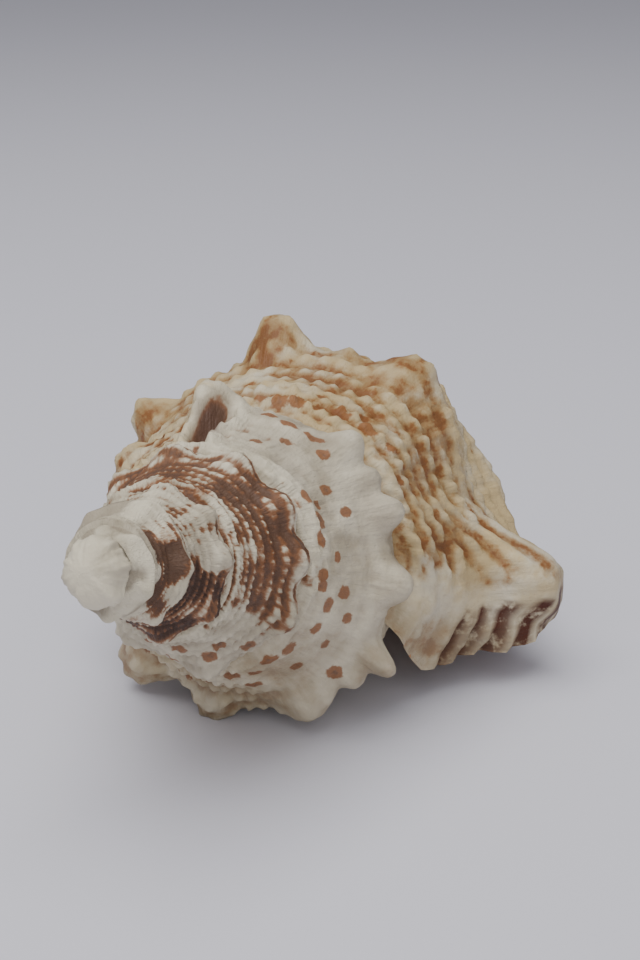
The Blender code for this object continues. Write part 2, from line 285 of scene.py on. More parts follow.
@dataclass
class Relief:
    """The low relief between the knobs: beaded cords, growth lines, scales, the old lip, the lip.

    Heights are in radii of the whorl. In a call of noise, the numbers beside turn and place are
    its cells per turn and per band, and the last number picks the pattern.
    """

    cords: int = 9
    cord_height: float = 0.026
    cord_wander: float = 0.012
    cord_floor: float = -0.5
    beads_per_whorl: int = 62
    bead_shift: float = 0.37
    bead_jitter: float = 0.30
    growth_lines: int = 210
    line_height: float = 0.0040
    lump_height: float = 0.014
    nodule_height: float = 0.075
    nodule_turns: tuple[float, float] = (3.3, 3.9)
    smooth_stretch: tuple[float, ...] = (-1.27, -1.20, -0.84, -0.76)
    smooth_wear: float = 0.80
    lip_wear: float = 0.75
    lip_worn: tuple[float, float] = (-0.03, 0.02)
    apex_worn: tuple[float, float] = (-4.6, -4.1)
    band_edges: tuple[float, ...] = (0.0, 0.07, 0.94, 1.0)
    frill_height: float = 0.070
    frill_place: float = 0.060
    frill_wander: float = 0.026
    frill_scales: tuple[tuple[float, float], ...] = ((0.0, 0.022), (0.060, 0.018), (0.115, 0.018))
    old_lip: float = -1.285
    old_side_height: float = 0.050
    old_arch_height: float = 0.045
    old_hollow_depth: float = 0.090
    fold_height: float = 0.009
    roll_height: float = 0.016
    margin_ridges: float = 13.0
    margin_height: float = 0.020
    base_cord_height: float = 0.034
    base_bead_shift: float = 0.3
    base_fine_height: float = 0.005

    def on_band(self, turn: Array, place: Array) -> Array:
        """Relief of the part of each whorl that shows on the spire.

        Cords are rounded ridges at even places, cut into beads by a wave along the whorl that
        shifts from cord to cord. Growth lines are noise drawn out across the whorl. The frill is a
        wavy ridge just past the suture, thinner on the last whorl. All fade out at both edges.

        Args:
            turn: turns of the grid.
            place: places of the grid, 0 at the suture and 1 at the next one.

        Returns:
            Heights in radii of the whorl.
        """
        phase = (place + self.cord_wander * noise(turn * 26, place * 3, 1.0)) * self.cords
        ridge = np.maximum(np.cos(2 * math.pi * phase), self.cord_floor)
        cord = np.round(phase)
        jitter = self.bead_jitter * noise(turn * 19, cord * 3.1, 2.0)
        bead = np.cos(2 * math.pi * (turn * self.beads_per_whorl + self.bead_shift * cord + jitter))
        uneven = 0.75 + 0.45 * noise(turn * 15, cord * 5.3, 9.0)
        cords = self.cord_height * uneven * ridge * (0.62 + 0.50 * bead)
        worn = 1 - self.smooth_wear * window(turn, *self.smooth_stretch)
        worn = worn * (1 - self.lip_wear * ramp(turn, *self.lip_worn)) * ramp(turn, *self.apex_worn)
        lines = self.line_height * noise(turn * self.growth_lines, place * 5, 3.0)
        lumps = self.lump_height * noise(turn * 30, place * 6, 4.0)
        lumps = lumps + 0.5 * self.lump_height * noise(turn * 71, place * 13, 14.0)
        nodules = self.nodule_height * noise(turn * 17, place * 3, 15.0) * ramp(-turn, *self.nodule_turns)
        edge = window(place, *self.band_edges)
        low = (cords * worn + lines + lumps + nodules) * edge + self.frill(turn, place)
        return low + self.old_fold(turn, place) + self.lip_folds(turn, place) * edge

    def frill(self, turn: Array, place: Array) -> Array:
        """The crumpled edge where a whorl climbs on the one before: three wavy rows of scales.

        Args:
            turn, place: the grid.

        Returns:
            Heights in radii of the whorl.
        """
        early = (1 - 0.70 * ramp(turn, -1.05, -0.9)) * ramp(turn, -4.0, -3.4)
        past = place - (self.frill_place + self.frill_wander * noise(turn * 21, 0.0, 5.0))
        height = 0.55 + 0.45 * noise(turn * 47, 0.5, 6.0)
        shares = (height, 1 - height, height * 0.5)
        scales = sum(bell(past, start, half) * share for (start, half), share in zip(self.frill_scales, shares))
        return self.frill_height * scales * early * ramp(place, 0.0, 0.03)

    def old_fold(self, turn: Array, place: Array) -> Array:
        """The old lip: two raised sides across the whorl, joined by an arch, and a hollow between.

        Args:
            turn, place: the grid.

        Returns:
            Heights in radii of the whorl.
        """
        walked = turn - self.old_lip - 0.006 * np.sin(2 * math.pi * place * 2)
        sides = bell(walked, 0.021, 0.008) + 0.8 * bell(walked, -0.023, 0.008)
        sides = sides * window(place, 0.05, 0.25, 0.75, 0.92)
        arch = bell(walked, 0.0, 0.018) * bell(place, 0.80, 0.09)
        hollow = bell(walked, 0.0, 0.012) * bell(place, 0.42, 0.24)
        return self.old_side_height * sides + self.old_arch_height * arch - self.old_hollow_depth * hollow

    def lip_folds(self, turn: Array, place: Array) -> Array:
        """Slanting folds before the lip, its smooth roll, and ridges that end at its margin.

        Args:
            turn, place: the grid.

        Returns:
            Heights in radii of the whorl.
        """
        slant = np.sin(2 * math.pi * (place * 7 - turn * 16 + 0.35 * noise(turn * 20, place * 4, 11.0)))
        folds = self.fold_height * slant * window(turn, -0.10, -0.04, -0.015, 0.015)
        roll = self.roll_height * bell(turn, 0.020, 0.022)
        ridges = self.margin_height * np.cos(2 * math.pi * place * self.margin_ridges)
        return folds + roll + ridges * ramp(turn, 0.022, 0.050) * ramp(place, 0.42, 0.55)

    def on_base(self, turn: Array, place: Array, cords: float) -> Array:
        """Relief below the band of the last whorl: cords down to the canal, beads, growth lines.

        Args:
            turn: turns of the grid.
            place: places from 0 below the band to 1 at the canal.
            cords: how many half waves the cords have over that length.

        Returns:
            Heights in radii of the whorl.
        """
        fade = np.clip(4 * (1 - place), 0, 1)
        wave = (1 + np.cos(math.pi * place * cords)) / 2
        shift = self.base_bead_shift * np.round(place * cords / 2)
        bead = np.cos(2 * math.pi * (turn * self.beads_per_whorl + shift))
        ridge = self.base_cord_height * wave * (0.86 + 0.14 * bead)
        fine = self.base_fine_height * np.cos(math.pi * place * cords * 3)
        lines = 2 * self.line_height * noise(turn * self.growth_lines, place * 8, 7.0)
        lumps = self.lump_height * noise(turn * 24, place * 9, 8.0)
        return (ridge + (fine + lines + lumps) * ramp(place, 0, 0.05)) * fade


@dataclass(frozen=True)
class Zone:
    """A stretch of turns with brown in it, which fades in and out, plain or in streaks."""

    start: float
    full: float
    fade: float
    end: float
    strength: float
    streaked: bool = False

    def weight(self, turn: Array) -> Array:
        """1 inside the zone and 0 outside, eased between."""
        return window(turn, self.start, self.full, self.fade, self.end)


@dataclass
class PigmentAndShade:
    """Where the shell's colours lie, as weights from 0 to 1 worked out from turn and place.

    Each spot is (turn, place, half length along the whorl, half width). The zones go from the
    apex on: worn brown, flecked white, dark, red-brown, streaked, the far side's brown, and the
    faint streaks of the smooth white whorl. The hollow weight is painted shade in the old lip's
    pit, and the groove weight puts both pigment and painted shade into the grooves.
    """

    old: Zone = Zone(-4.20, -4.12, -3.53, -3.47, 0.80)
    flecked: Zone = Zone(-3.50, -3.44, -3.09, -3.03, 0.85, True)
    dark: Zone = Zone(-3.06, -2.98, -2.62, -2.50, 0.95)
    red: Zone = Zone(-2.62, -2.52, -1.94, -1.88, 0.76)
    late: Zone = Zone(-1.92, -1.86, -1.40, -1.34, 0.28, True)
    back: Zone = Zone(-1.50, -1.44, -1.31, -1.29, 0.45)
    front: Zone = Zone(-1.36, -1.30, -0.80, -0.50, 0.20, True)
    old_slant: float = 1.1
    cloudy: float = 0.26
    white_patch: tuple[float, float] = (-3.015, 0.60)
    ribbon_wander: float = 0.035
    spot_grow: tuple[float, float] = (1.7, 1.4)
    spot_corner: float = 2.4
    full_crest: float = 0.13
    full_groove: float = 0.045
    spots: tuple[tuple[float, float, float, float], ...] = (
        (-1.104, 0.20, 0.008, 0.040), (-1.107, 0.45, 0.005, 0.035), (-1.090, 0.30, 0.005, 0.028),
        (-1.070, 0.23, 0.008, 0.040), (-1.074, 0.50, 0.005, 0.040), (-1.044, 0.18, 0.008, 0.032),
        (-1.020, 0.34, 0.005, 0.026), (-0.996, 0.18, 0.007, 0.034), (-0.982, 0.19, 0.005, 0.050),
        (-0.959, 0.30, 0.008, 0.040), (-0.976, 0.43, 0.006, 0.040), (-0.925, 0.28, 0.007, 0.034),
        (-0.946, 0.52, 0.005, 0.028), (-0.854, 0.15, 0.009, 0.045), (-0.883, 0.20, 0.009, 0.040),
        (-0.880, 0.68, 0.006, 0.036), (-0.905, 0.48, 0.005, 0.030), (-0.822, 0.25, 0.008, 0.036),
        (-0.860, 0.45, 0.006, 0.032), (-0.790, 0.20, 0.008, 0.036), (-0.800, 0.42, 0.008, 0.030),
        (-1.204, 0.70, 0.008, 0.022), (-1.232, 0.73, 0.008, 0.022), (-1.175, 0.70, 0.010, 0.020),
        (-1.190, 0.55, 0.006, 0.022), (-1.150, 0.62, 0.006, 0.022), (-1.215, 0.40, 0.006, 0.030),
        (-0.226, 0.12, 0.006, 0.040), (-0.204, 0.15, 0.005, 0.034), (-0.184, 0.18, 0.007, 0.038),
        (-0.155, 0.20, 0.007, 0.040), (-0.128, 0.23, 0.005, 0.036), (-0.243, 0.10, 0.006, 0.040),
        (-0.265, 0.12, 0.005, 0.030), (-0.170, 0.30, 0.004, 0.022), (-0.214, 0.27, 0.005, 0.022),
        (-0.095, 0.16, 0.004, 0.030), (-0.640, 0.55, 0.009, 0.050), (-0.610, 0.45, 0.007, 0.035),
        (-0.665, 0.35, 0.006, 0.035), (-0.700, 0.50, 0.008, 0.040), (-0.740, 0.40, 0.007, 0.040),
        (-1.700, 0.50, 0.010, 0.060), (-1.730, 0.70, 0.008, 0.040), (-1.760, 0.45, 0.009, 0.050),
        (-1.800, 0.60, 0.010, 0.060), (-1.830, 0.50, 0.008, 0.050), (-1.860, 0.72, 0.009, 0.060),
    )

    def weights(self, turn: Array, place: Array, relief: Array) -> dict[str, Array]:
        """Works out every colour weight.

        Zone edges are steps in turn, moved to and fro by noise, so that they run crooked across
        the whorl.

        Args:
            turn: turns, of any shape.
            place: places of the same shape.
            relief: low relief in radii of the whorl.

        Returns:
            Weights by attribute name.
        """
        moved = turn + 0.020 * noise(place * 7, turn * 18, 21.0) + 0.010 * noise(place * 19, turn * 60, 22.0)
        # Painted shade: the hollow weight darkens the old lip's pit, a recess where shade falls.
        hollow = bell(turn, Relief.old_lip, 0.020) * bell(place, 0.40, 0.22)
        shown = 1 - self.ribbon(turn, place)
        margin = ramp(turn, 0.008, 0.018) * window(place, 0.42, 0.52, 1.1, 1.3)
        valley = 0.5 - 0.5 * np.cos(2 * math.pi * place * Relief.margin_ridges)
        crest = SHOULDER_KNOBS.height(turn, place) + OLD_KNOBS.height(turn, place)
        return {
            "brown": np.clip(self.brown(turn, moved, place), 0, 1) * shown,
            # The dark weight also takes the hollow, so the pit gets painted shade as well as the dark zone's
            # pigment.
            "dark": np.clip(np.maximum(self.dark.weight(moved), hollow), 0, 1) * shown,
            "hollow": hollow,
            "spot": self.spotted(turn, place),
            "tan": self.tan(turn, moved),
            "margin": np.clip(2.4 * margin * (0.12 + 0.88 * valley) - 0.3, 0, 1),
            "crest": np.clip(crest / self.full_crest, 0, 1),
            # The groove weight carries pigment into the grooves and also painted shade.
            "groove": np.clip(0.5 - relief / self.full_groove, 0, 1),
        }

    def brown(self, turn: Array, moved: Array, place: Array) -> Array:
        """Brown of the zones, clouded by noise, with streaks at the suture and the old lip.

        Args:
            turn, place: the grid.
            moved: the turns, moved to and fro by noise.

        Returns:
            Weights of brown, which may pass 1.
        """
        streak = 0.5 + 0.5 * noise(turn * 150, place * 4, 23.0)
        slanted = ramp(place - self.old_slant * (turn - self.old.full), 0.10, 0.28)
        brown = self.old.strength * self.old.weight(moved) * slanted
        for zone in (self.dark, self.red, self.flecked, self.late, self.back, self.front):
            brown = brown + zone.strength * zone.weight(moved) * (streak if zone.streaked else 1)
        even = self.dark.weight(moved) + self.red.weight(moved) + self.old.weight(moved) * slanted
        brown = brown + self.cloudy * even * noise(turn * 23, place * 4, 25.0)
        white = bell(turn, self.white_patch[0], 0.028) * bell(place, self.white_patch[1], 0.20)
        brown = brown * (1 - 0.85 * ramp(white, 0.35, 0.6))
        suture = bell(place, 0.09, 0.09) * window(turn, -2.9, -2.7, -1.0, -0.90)
        brown = np.maximum(brown, 1.05 * suture * streak)
        arch = bell(turn, Relief.old_lip, 0.05) * bell(place, 0.62, 0.34)
        return np.maximum(brown, 1.1 * arch * streak)

    def ribbon(self, turn: Array, place: Array) -> Array:
        """The wavy white ribbons at the far edge of the early whorls.

        Args:
            turn, place: the grid.

        Returns:
            Weights from 0 to 1.
        """
        waved = place + self.ribbon_wander * noise(turn * 40, 0.3, 24.0)
        early = bell(waved, 0.945, 0.042) * window(turn, -4.3, -4.2, -2.9, -2.75)
        broken = 0.8 * bell(waved, 0.93, 0.04) * ramp(-turn, 1.80, 1.9) * (0.5 + noise(turn * 31, 0.0, 26.0))
        return np.clip(np.maximum(early, broken), 0, 1)

    def spotted(self, turn: Array, place: Array) -> Array:
        """The spots: a bell with blunt corners around each centre, taken at the strongest.

        Args:
            turn, place: the grid.

        Returns:
            Weights from 0 to 1.
        """
        longer, wider = self.spot_grow
        spot = np.zeros(turn.shape)
        for centre, level, length, width in self.spots:
            walked = np.abs((turn - centre) / (longer * length)) ** self.spot_corner
            across = np.abs((place - level) / (wider * width)) ** self.spot_corner
            spot = np.maximum(spot, np.exp(-(walked + across)))
        return spot

    def tan(self, turn: Array, moved: Array) -> Array:
        """Tan of the last whorl, which deepens in three steps, and of the far side; less at the lip.

        Args:
            turn: the grid's turns.
            moved: the turns, moved to and fro by noise.

        Returns:
            Weights from 0 to 1.
        """
        steps = ((0.12, -1.10, -0.95), (0.33, -0.90, -0.70), (0.55, -0.52, -0.44))
        tan = sum(height * ramp(moved, start, end) for height, start, end in steps)
        tan = np.maximum(tan, 0.9 * self.back.weight(moved))
        return tan * (1 - 0.50 * ramp(turn, -0.012, 0.016))


@dataclass
class Skin:
    """A mesh gathered piece by piece: vertices, faces, and a value of every attribute at each corner."""

    vertices: list[Array] = field(default_factory=list)
    faces: list[Array] = field(default_factory=list)
    values: dict[str, list[Array]] = field(default_factory=dict)
    total: int = 0

    def add_vertices(self, points: Array) -> Array:
        """Adds points.

        Args:
            points: a row of three metres for each.

        Returns:
            Their numbers in the mesh.
        """
        numbers = self.total + np.arange(len(points))
        self.vertices.append(points)
        self.total += len(points)
        return numbers

    def add_faces(self, corners: Array, values: dict[str, Array | float]) -> None:
        """Adds faces, with a number or an array of the corners' shape for each attribute."""
        self.faces.append(corners)
        for key, value in values.items():
            self.values.setdefault(key, []).append(np.broadcast_to(value, corners.shape))

    def close(self, loop: Array, rings: list[Array], tip: Array, values: dict[str, float]) -> None:
        """Closes a hole: rings of new vertices, each joined to the one before, and a fan at the end.

        Args:
            loop: numbers of the hole's vertices, in order.
            rings: points of each ring, in the same order.
            tip: the point that the fan runs to.
            values: the attributes' values all over these faces.
        """
        quads = []
        for ring in rings:
            new = self.add_vertices(ring)
            quads.append(np.stack([np.roll(loop, 1), loop, new, np.roll(new, 1)], axis=1))
            loop = new
        last = self.add_vertices(tip[None])
        self.add_faces(np.concatenate(quads), values)
        self.add_faces(np.stack([np.roll(loop, 1), loop, np.full(len(loop), last[0])], axis=1), values)

    def to_mesh(self, name: str) -> bpy.types.Mesh:
        """Puts the arrays into a mesh, with its vertices kept inside the CAD box by clipping.

        The corners of every face already run so that it points outwards.

        Args:
            name: the mesh's name.

        Returns:
            The mesh, shaded smooth.
        """
        points = np.clip(np.concatenate(self.vertices), np.array(CAD_BOX[0]), np.array(CAD_BOX[1]))
        sizes = np.concatenate([np.full(len(part), part.shape[1]) for part in self.faces])
        loops = np.concatenate([part.reshape(-1) for part in self.faces])
        mesh = bpy.data.meshes.new(name)
        starts = np.concatenate([[0], np.cumsum(sizes)[:-1]])
        for part, key, data in (
            (mesh.vertices, "co", points.astype(np.float32)),
            (mesh.loops, "vertex_index", loops.astype(np.int32)),
            (mesh.polygons, "loop_start", starts.astype(np.int32)),
        ):
            part.add(len(data))
            part.foreach_set(key, data.reshape(-1))
        mesh.update(calc_edges=True)
        mesh.validate()
        for key, held in self.values.items():
            layer = mesh.attributes.new(key, "FLOAT", "CORNER")
            flat = np.concatenate([part.reshape(-1) for part in held])
            layer.data.foreach_set("value", flat.astype(np.float32))
        mesh.shade_smooth()
        log.info("%s: %d vertices, %d faces", name, len(points), len(sizes))
        return mesh


@dataclass
class ShellWall:
    """The whole shell as one closed surface: whorls, base, lip, mouth lining and worn apex."""

    name: str = "sea_shell"
    columns: int = 352
    band_rows: int = 40
    base_rows: int = 104
    base_cords: int = 26
    base_span: float = 2.6
    base_meets: float = 0.15
    cap_rings: int = 10
    cap_bulge: float = 0.10
    cap_lumps: tuple[float, float] = (0.10, 0.06)
    apex_axial: float = 0.10
    knob_lean: tuple[float, float] = (1.0, -0.06)
    edge_fade: float = 0.15
    dent_inside: float = 1.5
    lip_tooth: float = 0.005
    toothed: tuple[float, ...] = (1.0, 1.17, 1.73, 1.9)
    lip_fade: float = 0.16
    apex_swell: float = 0.15
    swell_turns: tuple[float, float] = (-4.2, -3.4)
    apex_fill: float = 0.26
    fill_width: float = 0.2
    fill_turns: tuple[float, float] = (3.7, 4.3)
    apex_edge: float = 0.75
    edge_turns: tuple[float, float] = (3.9, 4.5)
    mouth_centre: tuple[float, float] = (0.53, 2.50)
    mouth_end: float = 0.475
    mouth_steps: int = 24
    lip_depths: tuple[float, ...] = (0.004, 0.008, 0.012)
    mouth_depths: tuple[float, float] = (0.02, 0.465)
    lip_reach: tuple[tuple[float, float], ...] = (
        (0.00, 0.000), (0.10, 0.008), (0.20, 0.020), (0.30, 0.028), (0.40, 0.034),
        (0.50, 0.028), (0.60, 0.010), (0.70, -0.006), (0.80, -0.024), (0.90, -0.040),
        (1.00, -0.052), (1.10, -0.048), (1.30, -0.022), (1.50, 0.000), (2.00, 0.000),
    )
    mouth_shares: tuple[tuple[float, float], ...] = (
        (0.000, 1.00), (0.006, 0.92), (0.010, 0.87), (0.030, 0.84), (0.070, 0.83), (0.120, 0.82),
        (0.180, 0.80), (0.250, 0.76), (0.320, 0.69), (0.390, 0.56), (0.440, 0.38), (0.465, 0.18),
    )
    relief: Relief = field(default_factory=Relief)
    pigment: PigmentAndShade = field(default_factory=PigmentAndShade)

    def column_turns(self) -> Array:
        """Turns of the columns: dense over the last two whorls, half as dense before them."""
        half = self.columns // 2
        early = np.arange(round((SPIRAL.whorls - 2) * half)) / half
        late = np.arange(2 * self.columns + 1) / self.columns
        return np.concatenate([SPIRAL.lip_turn - SPIRAL.whorls + early, SPIRAL.lip_turn - 2 + late])

    def next_whorl(self, column: Array, count: int) -> Array:
        """The column one whorl later.

        Args:
            column: numbers of columns.
            count: how many columns there are.

        Returns:
            Numbers of columns, or -1 past the last one.
        """
        half = self.columns // 2
        late = count - 1 - 2 * self.columns
        later = np.where(column + half <= late, column + half, late + 2 * (column + half - late))
        later = np.where(column >= late, column + self.columns, later)
        return np.where(later < count, later, -1)

    def reach(self, turn: Array, place: Array) -> Array:
        """Turns with the lip's own edge added: its reach by place and a tooth at each cord.

        Args:
            turn: turns of the grid.
            place: places of the grid, from 0 to 2.

        Returns:
            Turns, moved only where the lip is near.
        """
        tooth = self.lip_tooth * np.cos(math.pi * (place - 1) * self.base_cords) * window(place, *self.toothed)
        weight = np.clip(1 - (SPIRAL.lip_turn - turn) / self.lip_fade, 0, 1) ** 2
        places, reaches = np.array(self.lip_reach).T
        return turn + weight * (np.interp(place, places, reaches) + tooth)

    def band(self, turn: Array, place: Array) -> tuple[Array, Array]:
        """Radius and axial of the visible band, with knobs and relief.

        Knobs push the outline out along knob_lean and fade to nothing at the suture, less so
        near the apex, where the sutures are filled; the low relief pushes it straight outwards.

        Args:
            turn, place: the grid.

        Returns:
            (points in the half-plane, relief heights).
        """
        worn = self.apex_edge * ramp(-turn, *self.edge_turns)
        edge = np.maximum(np.clip(place / self.edge_fade, 0, 1), worn)
        knobs = SHOULDER_KNOBS.height(turn, place) + OLD_KNOBS.height(turn, place)
        swell = self.apex_swell * np.interp(turn, self.swell_turns, (1, 0))
        knobs = (knobs + DENT.height(turn, place) + swell) * edge
        sutures = bell(place, 0, self.fill_width) + bell(place, 1, self.fill_width)
        knobs = knobs + self.apex_fill * sutures * ramp(-turn, *self.fill_turns)
        relief = self.relief.on_band(turn, place)
        flat = BAND.at(place) + knobs[..., None] * np.array(self.knob_lean)
        flat = flat + relief[..., None] * BAND.outward(place)
        return flat * SPIRAL.size_at(turn)[..., None], relief

    def base(self, turn: Array, place: Array) -> Array:
        """Radius and axial below the band: the lip's and the pillar's outlines, mixed by size.

        Args:
            turn: turns of the grid.
            place: places from 0 below the band to 1 at the canal.

        Returns:
            Points in the half-plane.
        """
        first = SPIRAL.size_at(SPIRAL.lip_turn - 1)
        share = (SPIRAL.size_at(turn) - first) / (SPIRAL.size_at(SPIRAL.lip_turn) - first)
        share = share[..., None]
        meeting = np.clip(1 - place / self.base_meets, 0, 1)[..., None]
        grown = 1 + (SPIRAL.size_at(SPIRAL.lip_turn) - 1) * meeting
        return (LIP.at(place) * share + PILLAR.at(place) * (1 - share)) * grown

    def outside(self, turn: Array, place: Array) -> tuple[Array, Array]:
        """Places the outer wall, and opens its first whorl from a point.

        Args:
            turn: turns of the grid.
            place: places of the grid, from 0 to 1 on the band and on to 2 on the base.

        Returns:
            (world points, relief heights).
        """
        opened = np.clip(turn - turn[0, 0], 0, 1)
        band_place = 1 - (1 - np.minimum(place, 1)) * opened
        turned = self.reach(turn, place)
        flat, relief = self.band(turned, band_place)
        low_place = np.maximum(place - 1, 0)
        low = self.base(turned, low_place)
        low_relief = self.relief.on_base(turned, low_place, self.base_cords)
        spread = 1 + self.base_span * low_place
        knobs = SHOULDER_KNOBS.height(turned, spread) + LOW_KNOBS.height(turned, spread)
        knobs = knobs + DENT.height(turned, spread)
        out = (knobs + low_relief) * np.sqrt(np.clip(1 - low_place, 0, 1)) * SPIRAL.size_at(turned)
        low[..., 0] += out
        on_band = place <= 1
        flat = np.where(on_band[..., None], flat, low)
        relief = np.where(on_band, relief, low_relief)
        return SPIRAL.to_world(turned, flat[..., 0], flat[..., 1]), relief

    def mouth_ring(self, depth: float, share: float, places: Array, inner: Array) -> Array:
        """One closed section of the hollow: the whorl's outline drawn in towards its middle.

        Args:
            depth: how far back from the lip, in turns.
            share: size of the section over the whorl's own outline.
            places: places of the outer wall's rows.
            inner: places of the pillar's rows, back up from the canal.

        Returns:
            World points, outer wall first and then the pillar.
        """
        turn = SPIRAL.lip_turn - depth
        turns = self.reach(np.full(places.shape, turn), places)
        low_place = np.maximum(places - 1, 0)
        band = BAND.at(np.minimum(places, 1)) * SPIRAL.size_at(turns)[:, None]
        wall = np.where((places <= 1)[:, None], band, self.base(turns, low_place))
        spread = np.where(places <= 1, places, 1 + self.base_span * low_place)
        out = self.dent_inside * DENT.height(turns, spread) + LIP_FLARE.height(turns, spread)
        wall[:, 0] += out * SPIRAL.size_at(turn)
        pillar = PILLAR.at(inner) * SPIRAL.size_at(turn) / SPIRAL.size_at(SPIRAL.lip_turn)
        section = np.concatenate([wall, pillar])
        centre = np.array(self.mouth_centre) * SPIRAL.size_at(turn)
        section = centre + (section - centre) * share
        turns = np.concatenate([turns, np.full(inner.shape, turn)])
        return SPIRAL.to_world(turns, section[:, 0], section[:, 1])

    def build(self) -> bpy.types.Object:
        """Joins all the surfaces into one closed mesh, with its growth coordinates as attributes.

        Returns:
            The shell's object, at the origin.
        """
        turns = self.column_turns()
        band = np.linspace(0, 1, self.band_rows + 1)
        places = np.concatenate([band, 1 + np.linspace(0, 1, self.base_rows + 1)[1:]])
        turn, place = np.meshgrid(turns, places, indexing="ij")
        points, relief = self.outside(turn, place)
        ahead = self.next_whorl(np.arange(len(turns)), len(turns))
        back = len(turns) - 1 - self.columns

        skin = Skin()
        index, own = self.number_grid(ahead, back, len(places))
        skin.add_vertices(points[own])
        skin.add_vertices(SPIRAL.to_world(0.0, 0.0, LIP.points[-1][2])[None])
        data = {"turn": turn, "place": place} | self.pigment.weights(turn, place, relief)
        for corners in self.grid_corners(index, ahead, back):
            held = {key: grid.reshape(-1)[corners] for key, grid in data.items()}
            skin.add_faces(index.reshape(-1)[corners], held | {"region": Region.OUTSIDE.value})

        plain = dict.fromkeys(data, 0.0)
        rim = np.concatenate([index[-1], index[back, -2:self.band_rows:-1]])
        rings, tip = self.mouth(places)
        skin.close(rim, rings, tip, plain | {"place": 1.0, "region": Region.LINING.value})
        around = np.arange(1, ahead[0] + 1)
        rings, tip = self.cap(points[around, 0])
        worn = {"turn": float(turns[0]), "place": 0.5, "region": Region.OUTSIDE.value}
        skin.close(index[around, 0], rings, tip, plain | worn)
        shell = bpy.data.objects.new(self.name, skin.to_mesh(self.name))
        bpy.context.scene.collection.objects.link(shell)
        return shell

    def number_grid(self, ahead: Array, back: int, rows: int) -> tuple[Array, Array]:
        """Numbers the grid's vertices.

        The band's last row at a column is the same vertices as the first row one whorl later, so
        the whorls are one skin. The base's last row is one vertex, the canal's end.

        Args:
            ahead: the column one whorl later than each.
            back: the first column that carries the base.
            rows: how many rows there are.

        Returns:
            (vertex number at each column and row, which of them are vertices of their own).
        """
        index = np.full((len(ahead), rows), -1)
        own = np.zeros(index.shape, bool)
        own[1:, :self.band_rows] = True
        own[ahead < 0, self.band_rows] = True
        own[back:, self.band_rows + 1:-1] = True
        index[own] = np.arange(own.sum())
        index[0, :self.band_rows] = index[ahead[0], 0]
        joined = ahead >= 0
        index[joined, self.band_rows] = index[ahead[joined], 0]
        index[back:, -1] = own.sum()
        return index, own

    def grid_corners(self, index: Array, ahead: Array, back: int) -> tuple[Array, Array]:
        """Corners of the grid's faces, as positions in the flattened grid.

        Where a dense column meets a sparse one, a quad and a triangle share the odd vertex.

        Args:
            index: vertex number at each column and row.
            ahead: the column one whorl later than each.
            back: the first column that carries the base.

        Returns:
            (quads, triangles), each a row of corners per face.
        """
        count, rows = index.shape
        spots = np.arange(count * rows).reshape(count, rows)
        c, r = np.meshgrid(np.arange(count - 1), np.arange(rows - 1), indexing="ij")
        live = (r < self.band_rows) | (c >= back)
        c, r = c[live], r[live]
        quads = np.stack([spots[c, r], spots[c + 1, r], spots[c + 1, r + 1], spots[c, r + 1]], axis=1)
        start = c == 0
        pole = r == rows - 2
        seam = (r == self.band_rows - 1) & (c < back)
        gap = np.where(seam, ahead[c + 1] - ahead[c], 1) == 2
        wide = quads[gap & ~start]
        middle = spots[ahead[c[gap & ~start]] + 1, 0]
        split = np.concatenate([wide[:, :3], middle[:, None]], axis=1)
        corner = np.stack([wide[:, 0], middle, wide[:, 3]], axis=1)
        whole = quads[~(start | pole | gap)]
        ends = [quads[start][:, :3], quads[pole & ~start][:, :3], corner]
        return np.concatenate([whole, split]), np.concatenate(ends)

    def mouth(self, places: Array) -> tuple[list[Array], Array]:
        """The hollow behind the lip, as sections that narrow until it closes.

        Args:
            places: places of the outer wall's rows.

        Returns:
            (points of each section, the point where it closes).
        """
        inner = places[-2:self.band_rows:-1] - 1
        known = np.array(self.mouth_shares)
        depths = np.concatenate([self.lip_depths, np.linspace(*self.mouth_depths, self.mouth_steps)])
        shares = np.interp(depths, known[:, 0], known[:, 1])
        rings = [self.mouth_ring(depth, share, places, inner) for depth, share in zip(depths, shares)]
        end = SPIRAL.lip_turn - self.mouth_end
        centre = np.array(self.mouth_centre) * SPIRAL.size_at(end)
        return rings, SPIRAL.to_world(end, centre[0], centre[1])

    def cap(self, edge: Array) -> tuple[list[Array], Array]:
        """The worn apex: quarter circles from the first whorl's edge to the tip, made lumpy by noise.

        Args:
            edge: points of the first whorl's edge.

        Returns:
            (points of each ring, the tip).
        """
        tip = SPIRAL.to_world(-SPIRAL.whorls, 0.0, self.apex_axial)
        axis = SPIRAL.to_world(0.0, 0.0, 1.0) - SPIRAL.to_world(0.0, 0.0, 0.0)
        axis /= np.linalg.norm(axis)
        rise = (edge - tip) @ axis
        flat = edge - tip - rise[:, None] * axis
        spread = np.linspace(0, 2 * math.pi, len(edge), endpoint=False)
        large, small = self.cap_lumps
        rings = []
        for step in range(1, self.cap_rings):
            angle = (1 - step / self.cap_rings) * math.pi / 2
            bulge = 1 + self.cap_bulge * math.sin(2 * angle)
            lift = (rise * (1 - math.cos(angle)))[:, None] * axis
            across = 3.5 * math.sin(angle)
            east, north = 9 + across * np.cos(spread), 9 + across * np.sin(spread)
            lumps = 1 + large * noise(east, north, 12.0) + small * noise(2.3 * east, 2.3 * north, 13.0)
            rings.append(tip + flat * math.sin(angle) * bulge * lumps[:, None] + lift)
        return rings, tip


def srgb(code: str) -> tuple[float, float, float, float]:
    """Turns an sRGB hex colour into the linear values that shaders take.

    Args:
        code: a hash sign and six hex digits.

    Returns:
        Red, green, blue and an alpha of 1.
    """
    parts = [int(code[k:k + 2], 16) / 255 for k in (1, 3, 5)]
    linear = [p / 12.92 if p <= 0.04045 else ((p + 0.055) / 1.055) ** 2.4 for p in parts]
    return (*linear, 1.0)


